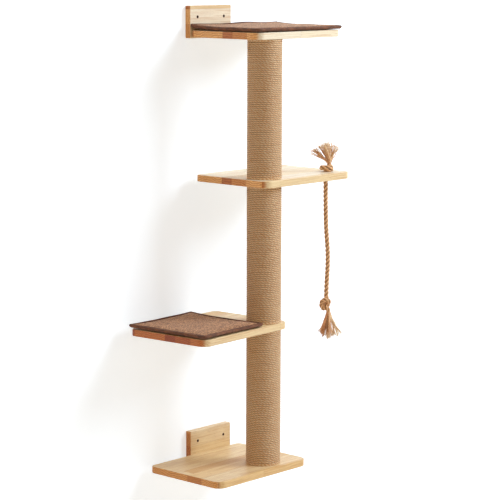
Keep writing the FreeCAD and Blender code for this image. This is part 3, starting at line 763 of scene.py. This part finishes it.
# Top knot: the rope comes up, lies once around itself on the shelf and rises through the turn.
topKnot = {
    "ropeDiameter": 0.0122,
    "loopCentre": 1.8,  # millimetres to the right of the hole
    "loopRadius": 14.2,
    "loopStart": 5.8,
    "loopRise": 6.4,
    "fringeFoot": (9.0, 0.0, 20.0),
    "loopPoints": 9,
}
shelfTop = np.array([swingPoint.x, swingPoint.y, shelfHigh.z])
controls = [local(shelfTop, 0, 0, -3), local(shelfTop, 1, 2, 4)]
for step in range(topKnot["loopPoints"]):
    share = step / (topKnot["loopPoints"] - 1)
    angle = math.radians(70 - 400 * share)
    reach = topKnot["loopRadius"]
    controls.append(local(shelfTop, topKnot["loopCentre"] + reach * math.cos(angle),
                          reach * math.sin(angle), topKnot["loopStart"] + topKnot["loopRise"] * share))
footRight, _, footUp = topKnot["fringeFoot"]
controls += [local(shelfTop, footRight + 2, -2, footUp - 7), local(shelfTop, footRight, 0, footUp - 4),
             local(shelfTop, *topKnot["fringeFoot"])]
knotShape = newShape()
layRope(knotShape, smoothLine(controls), topKnot["ropeDiameter"], lay=0.031)
knotOnShelf = makePiece("knot_on_shelf", knotShape, ropeJute, "frame")
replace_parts(knotOnShelf, "rope_top_knot")

# End knot: an overhand knot. The rope comes down at the right, turns up at the left, goes around
# itself and leaves through the turn at the lower right.
endKnot = {
    "ropeDiameter": 0.0112,
    "points": [
        (0, 0, 6), (1, 0, 0), (4, 0, -8), (5, 1, -16), (2, 2, -25), (-5, 4, -29), (-12, 4, -24),
        (-14, 4, -14), (-10, 5, -5), (-2, 7, -3), (5, 6, -5), (8, 0, -10), (6, -6, -15),
        (-1, -8, -17), (-5, -3, -19), (-3, 4, -22), (2, 8, -26), (6, 5, -32), (6, 2, -39),
    ],
}
knotShape = newShape()
layRope(knotShape, smoothLine([local(ropeEnd, *point) for point in endKnot["points"]]),
        endKnot["ropeDiameter"], lay=0.03)
knotAtEnd = makePiece("knot_at_end", knotShape, ropeJute, "rope")
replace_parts(knotAtEnd, "rope_end_knot")

# Frayed ends: the three strands leave the knot together, part, and open into yarns, and each yarn
# ends in a few loose threads.
frayed = {
    "yarnRadius": 0.0012,
    "threadRadius": 0.00045,
    "threads": 4,
    "threadLength": 0.011,
    "strandRadius": 0.0042,
}
random.seed(14)


def randomUnit():
    return unit(np.array([random.gauss(0, 1) for _ in range(3)]))


def addYarn(shape, corners, radius, tone, sides=7, steps=18):
    # A yarn along the quadratic curve with these three corners, a little wavy and thinner at its tip.
    share = np.linspace(0, 1, steps)[:, None]
    first, middle, last = corners
    line = first * (1 - share) ** 2 + middle * 2 * share * (1 - share) + last * share ** 2
    wave = np.sin(share * math.pi * random.uniform(2, 5)) * share * random.uniform(0.4, 1.6) * mm
    line = line + wave * randomUnit()
    sweep(shape, line, radius * (1 - 0.3 * share[:, 0]), sides, 2, 0.12, 0.009,
          shift=random.random(), tone=tone)
    return line[-1], unit(line[-1] - line[-3])


def addStrand(shape, neck, knee, tips, toneOf):
    # One strand of the rope, from the knot to its knee in one bundle and from there yarn by yarn.
    for tip in tips:
        aside = frayed["strandRadius"] * random.uniform(0.3, 1.0) * randomUnit()
        tone = toneOf(tip)
        corners = (neck + 0.8 * aside, knee + aside, tip)
        end, heading = addYarn(shape, corners, frayed["yarnRadius"], tone)
        for _ in range(frayed["threads"]):
            length = frayed["threadLength"] * random.uniform(0.4, 1.0)
            threadTip = end + length * (heading + 0.4 * randomUnit())
            corners = (end - heading * 0.005, end + heading * length * 0.4, threadTip)
            addYarn(shape, corners, frayed["threadRadius"], min(9, tone + 2), sides=5, steps=7)


def rightOf(origin, point):
    # How many millimetres a point lies to the right of an origin, as the camera sees it.
    return float((point - origin) @ rightward) / mm


# Painted light: the yarns get paler toward the right of the picture, where the lamp stands, on top of a random
# tone.
def fringeTone(tip):
    paintedLightPaleness = 5.6 + rightOf(shelfTop, tip) * 0.07 + random.gauss(0, 2.4)
    return int(min(9, max(0, paintedLightPaleness)))


# Painted light: paler toward the lamp at the right, on top of a random tone.
def tasselTone(tip):
    paintedLightPaleness = 2.8 + rightOf(ropeEnd, tip) * 0.19 + random.gauss(0, 2.0)
    return int(min(9, max(0, paintedLightPaleness)))


# Each strand by its knee and by its first and last tip, in millimetres to the right, toward the
# camera and up, and by how many yarns it has.
fringeStrands = [
    ((-2, 3, 33), (-34, 6, 46), (-18, -6, 56), 20),
    ((3, -5, 38), (-16, -9, 58), (-1, 2, 64), 22),
    ((9, 4, 38), (-2, 10, 64), (14, -4, 65), 22),
    ((15, -1, 36), (14, -6, 64), (29, 5, 55), 20),
]
tasselStrands = [
    ((-3, 5, -58), (-15, 8, -82), (-6, -2, -93), 22),
    ((3, -6, -62), (-8, -11, -92), (12, -6, -98), 26),
    ((9, 4, -60), (2, 9, -97), (20, -2, -95), 22),
    ((17, -2, -62), (18, -8, -95), (36, 3, -84), 22),
]


def frayEnd(name, origin, foot, strands, spread, toneOf, body, node):
    shape = newShape()
    neck = local(origin, *foot)
    for knee, first, last, count in strands:
        tips = []
        for index in range(count):
            share = (index + random.random()) / count
            spot = [a + (b - a) * share + random.gauss(0, 1) * s for a, b, s in zip(first, last, spread)]
            tips.append(local(origin, *spot))
        addStrand(shape, neck, local(origin, *knee), tips, toneOf)
    piece = makePiece(name, shape, yarnJute, body)
    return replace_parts(piece, node)


fringe = frayEnd("frayed_top", shelfTop, topKnot["fringeFoot"], fringeStrands, (1.2, 5.0, 2.4),
                 fringeTone, "frame", "rope_fringe")
tassel = frayEnd("tassel", ropeEnd, endKnot["points"][-2], tasselStrands, (1.5, 5.0, 3.0),
                 tasselTone, "rope", "rope_tassel")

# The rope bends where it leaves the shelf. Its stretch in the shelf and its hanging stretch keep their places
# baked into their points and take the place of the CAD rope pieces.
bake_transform(holeRope)
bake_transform(hangingRope)
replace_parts(holeRope, "rope_in_hole", "rope_neck")
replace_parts(hangingRope, "hanging_rope")
print("rope laid")


# Pads: a thin mat whose edge is bound with tape. The rim is held and the cloth between swells.
mats = {
    "gridStep": 0.005,
    "corner": 0.010,
    "tapeReach": 0.0022,  # tape beyond the mat's own edge
    "swell": 0.0032,
    "pressure": 4.0,
    "frames": 20,
}


def unturned(node, degrees):
    # The lowest and highest corner of a node once it is turned back about the post.
    low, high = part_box("lower_post_core")
    axis = (low + high) / 2
    axis.z = 0
    back = Matrix.Rotation(-math.radians(degrees), 3, "Z")
    corners = np.array([back @ (vertex.co - axis) + axis for vertex in nodes[node].data.vertices])
    return corners.min(axis=0), corners.max(axis=0), axis


def roundedPlan(x, y, halfWidth, halfDepth, corner):
    # Pulls the points of a rectangle's corners onto quarter circles.
    dx = np.clip((np.abs(x) - (halfWidth - corner)) / corner, 0, 1)
    dy = np.clip((np.abs(y) - (halfDepth - corner)) / corner, 0, 1)
    inX = dx * np.sqrt(1 - dy ** 2 / 2) - dx
    inY = dy * np.sqrt(1 - dx ** 2 / 2) - dy
    return x + np.sign(x) * inX * corner, y + np.sign(y) * inY * corner


def makeMat(node, name, degrees, pulls, tips, lifts, backLift, body, waves):
    low, high, axis = unturned(node, degrees)
    centre = (low + high) / 2
    halfWidth, halfDepth, halfHeight = (high - low) / 2
    halfWidth -= mats["tapeReach"]
    halfDepth -= mats["tapeReach"]

    def shaped(x, y, z):
        # Where a point of the flat mat lies once its edges are pulled in and its corners lifted.
        u, v = x / halfWidth, y / halfDepth
        x, y = roundedPlan(x, y, halfWidth, halfDepth, mats["corner"])
        pullLeft, pullRight, pullFront, pullBack = pulls
        side = np.where(u > 0, pullRight, pullLeft) * np.abs(u) ** 3 * (1 - v ** 2)
        end = np.where(v > 0, pullBack, pullFront) * np.abs(v) ** 3 * (1 - u ** 2)
        x = x - np.sign(u) * side
        y = y - np.sign(v) * end
        for cornerU, cornerV, right, back in tips:
            near = np.clip(u * cornerU, 0, 1) ** 5 * np.clip(v * cornerV, 0, 1) ** 5
            x = x + right * near
            y = y + back * near
        lift = backLift * np.clip(v, 0, 1) ** 4 * (1 + 0.22 * np.sin(5.2 * u + 0.6))
        for cornerU, cornerV, height in lifts:
            lift = lift + height * np.clip((u * cornerU + v * cornerV) / 2, 0, 1) ** 6
        rim = np.maximum(np.abs(u), np.abs(v)) ** 8
        lift = lift + rim * waves * (1 + np.sin(5.1 * u + 3.7 * v) * np.sin(4.3 * v - 2.9 * u + 1)) / 2
        return np.stack([x + centre[0], y + centre[1], z + centre[2] + lift], axis=-1)

    def turned(points):
        turn = np.array(Matrix.Rotation(math.radians(degrees), 3, "Z"))
        return (points - np.array(axis)) @ turn.T + np.array(axis)

    columns = round(2 * halfWidth / mats["gridStep"])
    rows = round(2 * halfDepth / mats["gridStep"])
    flatX, flatY = np.meshgrid(np.linspace(-halfWidth, halfWidth, columns + 1),
                               np.linspace(-halfDepth, halfDepth, rows + 1), indexing="ij")
    inside = np.minimum(halfWidth - np.abs(flatX), halfDepth - np.abs(flatY))
    rounding = np.sqrt(np.clip(1 - (1 - np.clip(inside / mats["gridStep"], 0, 1)) ** 2, 0, 1))
    points, faces, index = [], [], {}
    for face in (1, -1):
        skin = turned(shaped(flatX, flatY, face * halfHeight * rounding))
        for column in range(columns + 1):
            for row in range(rows + 1):
                rim = column in (0, columns) or row in (0, rows)
                key = (column, row, 0 if rim else face)
                if key not in index:
                    index[key] = len(points)
                    points.append(tuple(skin[column, row]))
                index[(column, row, "at", face)] = index[key]
        for column in range(columns):
            for row in range(rows):
                ring = [(column, row), (column + 1, row), (column + 1, row + 1), (column, row + 1)]
                faces.append([index[(*corner, "at", face)] for corner in ring[::face]])
    mesh = bpy.data.meshes.new(name)
    mesh.from_pydata(points, [], faces)
    mesh.polygons.foreach_set("use_smooth", [True] * len(mesh.polygons))
    mesh.materials.append(speckledPlush)
    mat = newObject(name, mesh)
    rimPoints = sorted({index[key] for key in index if len(key) == 3 and key[2] == 0})
    swell(mat, rimPoints, low[2])
    subdivision = mat.modifiers.new("finer", "SUBSURF")
    subdivision.levels = 1
    subdivision.render_levels = 1
    settle(mat)
    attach(mat, body)
    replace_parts(mat, node)

    edge = edgeLine(halfWidth, halfDepth)
    rimLine = turned(shaped(edge[:, 0], edge[:, 1], np.zeros(len(edge))))
    bindEdge(name, rimLine, halfHeight, body)
    print(name, "made")


def settle(piece):
    # Applies the modifiers by taking the shape that they give.
    seen = piece.evaluated_get(bpy.context.evaluated_depsgraph_get())
    mesh = bpy.data.meshes.new_from_object(seen)
    piece.modifiers.clear()
    old = piece.data
    piece.data = mesh
    mesh.name = old.name
    bpy.data.meshes.remove(old)


def swell(mat, rimPoints, floorHeight):
    # The cloth between the held rims is blown up, and how far a point may go is capped.
    before = np.array([vertex.co for vertex in mat.data.vertices])
    trial = mat.copy()
    trial.data = mat.data.copy()
    bpy.context.collection.objects.link(trial)
    held = trial.vertex_groups.new(name="held")
    held.add(rimPoints, 1.0, "REPLACE")
    cloth = trial.modifiers.new("cloth", "CLOTH")
    cloth.settings.use_pressure = True
    cloth.settings.uniform_pressure_force = mats["pressure"]
    cloth.settings.vertex_group_mass = "held"
    cloth.settings.effector_weights.gravity = 0
    cloth.point_cache.frame_start = 1
    cloth.point_cache.frame_end = mats["frames"]
    for number in range(1, mats["frames"] + 1):
        bpy.context.scene.frame_set(number)
    seen = trial.evaluated_get(bpy.context.evaluated_depsgraph_get())
    after = np.array([vertex.co for vertex in seen.data.vertices])
    bpy.context.scene.frame_set(1)
    bpy.data.objects.remove(trial)
    moved = after - before
    far = np.linalg.norm(moved, axis=1, keepdims=True)
    capped = before + moved / np.maximum(far, 1e-9) * mats["swell"] * np.tanh(far / mats["swell"])
    capped[:, 2] = np.maximum(capped[:, 2], floorHeight)
    mat.data.vertices.foreach_set("co", capped.astype(np.float32).ravel())
    mat.data.update()
    print("swell", round(float(far.max()) * 1000, 1), "mm before the cap")


def edgeLine(halfWidth, halfDepth, spacing=0.0035):
    # The rectangle's edge once around, counterclockwise from its front left corner.
    corners = np.array([(-1, -1), (1, -1), (1, 1), (-1, 1), (-1, -1)]) * (halfWidth, halfDepth)
    line = []
    for begin, end in zip(corners, corners[1:]):
        count = round(np.linalg.norm(end - begin) / spacing)
        line.append(begin + (end - begin) * (np.arange(count) / count)[:, None])
    return np.concatenate(line)


# Tape profile in millimetres, outward and up from the mat's rim, once around its thickness.
tape = {
    "outer": [(-7.4, -4.0), (-4.6, -4.3), (-2.4, -3.7), (-0.4, -2.5), (1.3, -0.7), (2.2, 1.2),
              (1.9, 3.0), (0.6, 4.3), (-1.8, 5.0), (-4.6, 5.2), (-7.2, 4.9), (-7.6, 4.2)],
    "inner": [(-6.6, 3.4), (-2.6, 3.4), (-0.6, 1.6), (-0.6, -1.6), (-2.6, -3.2), (-6.8, -3.2)],
    "stitchIn": -5.6,
    "stitchUp": 5.15,
    "stitchLength": 0.0032,
    "stitchPitch": 0.0046,
    "stitchRadius": 0.0004,
}


def bindEdge(name, rimLine, halfHeight, body):
    ahead = unit(np.roll(rimLine, -1, axis=0) - np.roll(rimLine, 1, axis=0))
    outward = unit(np.cross(ahead, upward))
    profile = np.array(tape["outer"] + tape["inner"]) * mm
    profile[:, 1] *= halfHeight / (4 * mm)
    around = np.append(lengthsAlong(np.append(profile, profile[:1], axis=0)), 0)[:-1] / 0.04
    skin = (rimLine[:, None] + profile[None, :, :1] * outward[:, None]
            + profile[None, :, 1:] * upward[None, None])
    skin = np.append(skin, skin[:1], axis=0)
    shape = newShape()
    distance = lengthsAlong(np.append(rimLine, rimLine[:1], axis=0))
    addGrid(shape, skin[:, ::-1], around[::-1], distance, closeEnds=False)
    binding = makePiece(f"{name}_binding", shape, boundTape, None)
    weld(binding)
    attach(binding, body)

    stitches = newShape()
    rise = tape["stitchUp"] * halfHeight / (4 * mm)
    seam = rimLine + mm * (tape["stitchIn"] * outward + rise * upward)
    seam = np.append(seam, seam[:1], axis=0)
    distance = lengthsAlong(seam)
    for number in range(int(distance[-1] / tape["stitchPitch"])):
        begin = number * tape["stitchPitch"]
        spots = begin + tape["stitchLength"] * np.linspace(0, 1, 5)
        line = np.stack([np.interp(spots, distance, seam[:, axis]) for axis in range(3)], axis=1)
        line[[0, -1], 2] -= 2 * tape["stitchRadius"]
        sweep(stitches, line, tape["stitchRadius"], 6)
    makePiece(f"{name}_stitches", stitches, tapeThread, body)


def weld(piece):
    joined = piece.modifiers.new("weld", "WELD")
    joined.merge_threshold = 0.00001
    settle(piece)


makeMat("lower_pad", "lower_mat", lowerTurn, (0.001, 0.0065, 0.004, -0.003),
        [(-1, 1, -0.009, 0.002), (1, 1, 0.002, 0.001)],
        [(-1, 1, 0.003), (-1, -1, 0.0005), (1, 1, 0.002)], 0.0, "lower_mat", 0.0008)
makeMat("top_pad", "top_mat", 0, (0.001, 0.001, 0.001, 0.001), [(-1, 1, -0.006, 0.0)],
        [(-1, 1, 0.001)], 0.0045, "top_mat", 0.0012)


# Room: a wall behind the tree, a floor below it, a large soft lamp at the right of the picture and
# even light from all around.
room = {
    "wallBehind": 0.0006,
    "reach": 6.0,
    "contact": 0.004,  # light closer than this passes, or the boards' backs would be black
    "floorLevel": -1.5,
    "paper": rgb(224, 230, 238),
    "paperPale": rgb(230, 235, 243),
    "bounce": rgb(240, 234, 226),
    "glow": 0.5,
    "glowColour": (0.90, 0.97, 1.0, 1.0),
    # Painted shade in the drilled holes behind the screw holes: their radius and colour.
    "drill": 0.0036,
    "holeShade": rgb(70, 44, 28),
    "ambient": 0.5,
    "ambientColour": (1.0, 0.82, 0.66, 1.0),
    "lampPower": 92.0,
    "lampColour": (0.80, 0.91, 1.0),
    "lampSize": 1.5,
    "lampDistance": 3.2,
    "lampHeight": 34.0,  # degrees above the horizon
}


def makeBackdrop(name, corners, shadedHoles=()):
    mesh = bpy.data.meshes.new(name)
    mesh.from_pydata(corners, [], [(0, 1, 2, 3)])
    plane = newObject(name, mesh)
    material, tree, shader = newMaterial(f"{name}Paint", roughness=0.9, Specular_IOR_Level=0.1)
    place = onObject(tree)
    rays, seen = seenDirectly(tree)
    colour = mixColour(tree, noise(tree, place, 3.0, 2.0), room["paper"], room["paperPale"])
    colour = mixColour(tree, seen, room["bounce"], colour)
    glow = calc(tree, "MULTIPLY", seen, room["glow"])
    for hole in shadedHoles:
        # Painted shade: behind the board's screw holes the wall is painted dark and does not glow, standing for
        # the shade in drilled holes.
        away = vectorCalc(tree, "DISTANCE", place, hole)["Value"]
        outsideHoleShade = calc(tree, "GREATER_THAN", away, room["drill"])
        glow = calc(tree, "MULTIPLY", glow, outsideHoleShade)
        colour = mixColour(tree, outsideHoleShade, room["holeShade"], colour)
    tree.links.new(colour, shader.inputs["Base Color"])
    tree.links.new(glow, shader.inputs["Emission Strength"])
    shader.inputs["Emission Color"].default_value = room["glowColour"]
    behind = put(tree, "ShaderNodeNewGeometry").outputs["Backfacing"]
    near = calc(tree, "LESS_THAN", rays["Ray Length"], room["contact"])
    behind = calc(tree, "MAXIMUM", behind, near)
    clear = put(tree, "ShaderNodeBsdfTransparent").outputs[0]
    either = put(tree, "ShaderNodeMixShader", {0: behind, 1: shader.outputs[0], 2: clear}).outputs[0]
    tree.links.new(either, tree.nodes["Material Output"].inputs["Surface"])
    mesh.materials.append(material)


far = room["reach"]
wallY = room["wallBehind"]
floorZ = room["floorLevel"]
makeBackdrop("wall", [(-far, wallY, floorZ), (far, wallY, floorZ), (far, wallY, far), (-far, wallY, far)],
             wallHoles("top_wall_board") + wallHoles("base_wall_board"))
makeBackdrop("floor", [(-far, -far, floorZ), (far, -far, floorZ), (far, far, floorZ),
                       (-far, far, floorZ)])

world = bpy.data.worlds.new("studio")
bpy.context.scene.world = world
world.use_nodes = True
tree = world.node_tree
seen = seenDirectly(tree)[1]
strength = calc(tree, "MULTIPLY_ADD", seen, 1.0 - room["ambient"], room["ambient"])
sky = tree.nodes["Background"].inputs
tree.links.new(strength, sky["Strength"])
tree.links.new(mixColour(tree, seen, room["ambientColour"], (1, 1, 1, 1)), sky["Color"])

lamp = bpy.data.lights.new("softLamp", "AREA")
lamp.size = room["lampSize"]
lamp.energy = room["lampPower"]
lamp.color = room["lampColour"]
lampObject = newObject("softLamp", lamp)
rise = math.radians(room["lampHeight"])
toLamp = Vector(rightward * math.cos(rise) + upward * math.sin(rise))
target = (Vector(cadBounds[0]) + Vector(cadBounds[1])) / 2
lampObject.location = target + toLamp * room["lampDistance"]
lampObject.rotation_mode = "QUATERNION"
lampObject.rotation_quaternion = toLamp.to_track_quat("Z", "Y")

bpy.context.scene.view_settings.view_transform = "Standard"
print("room lit")
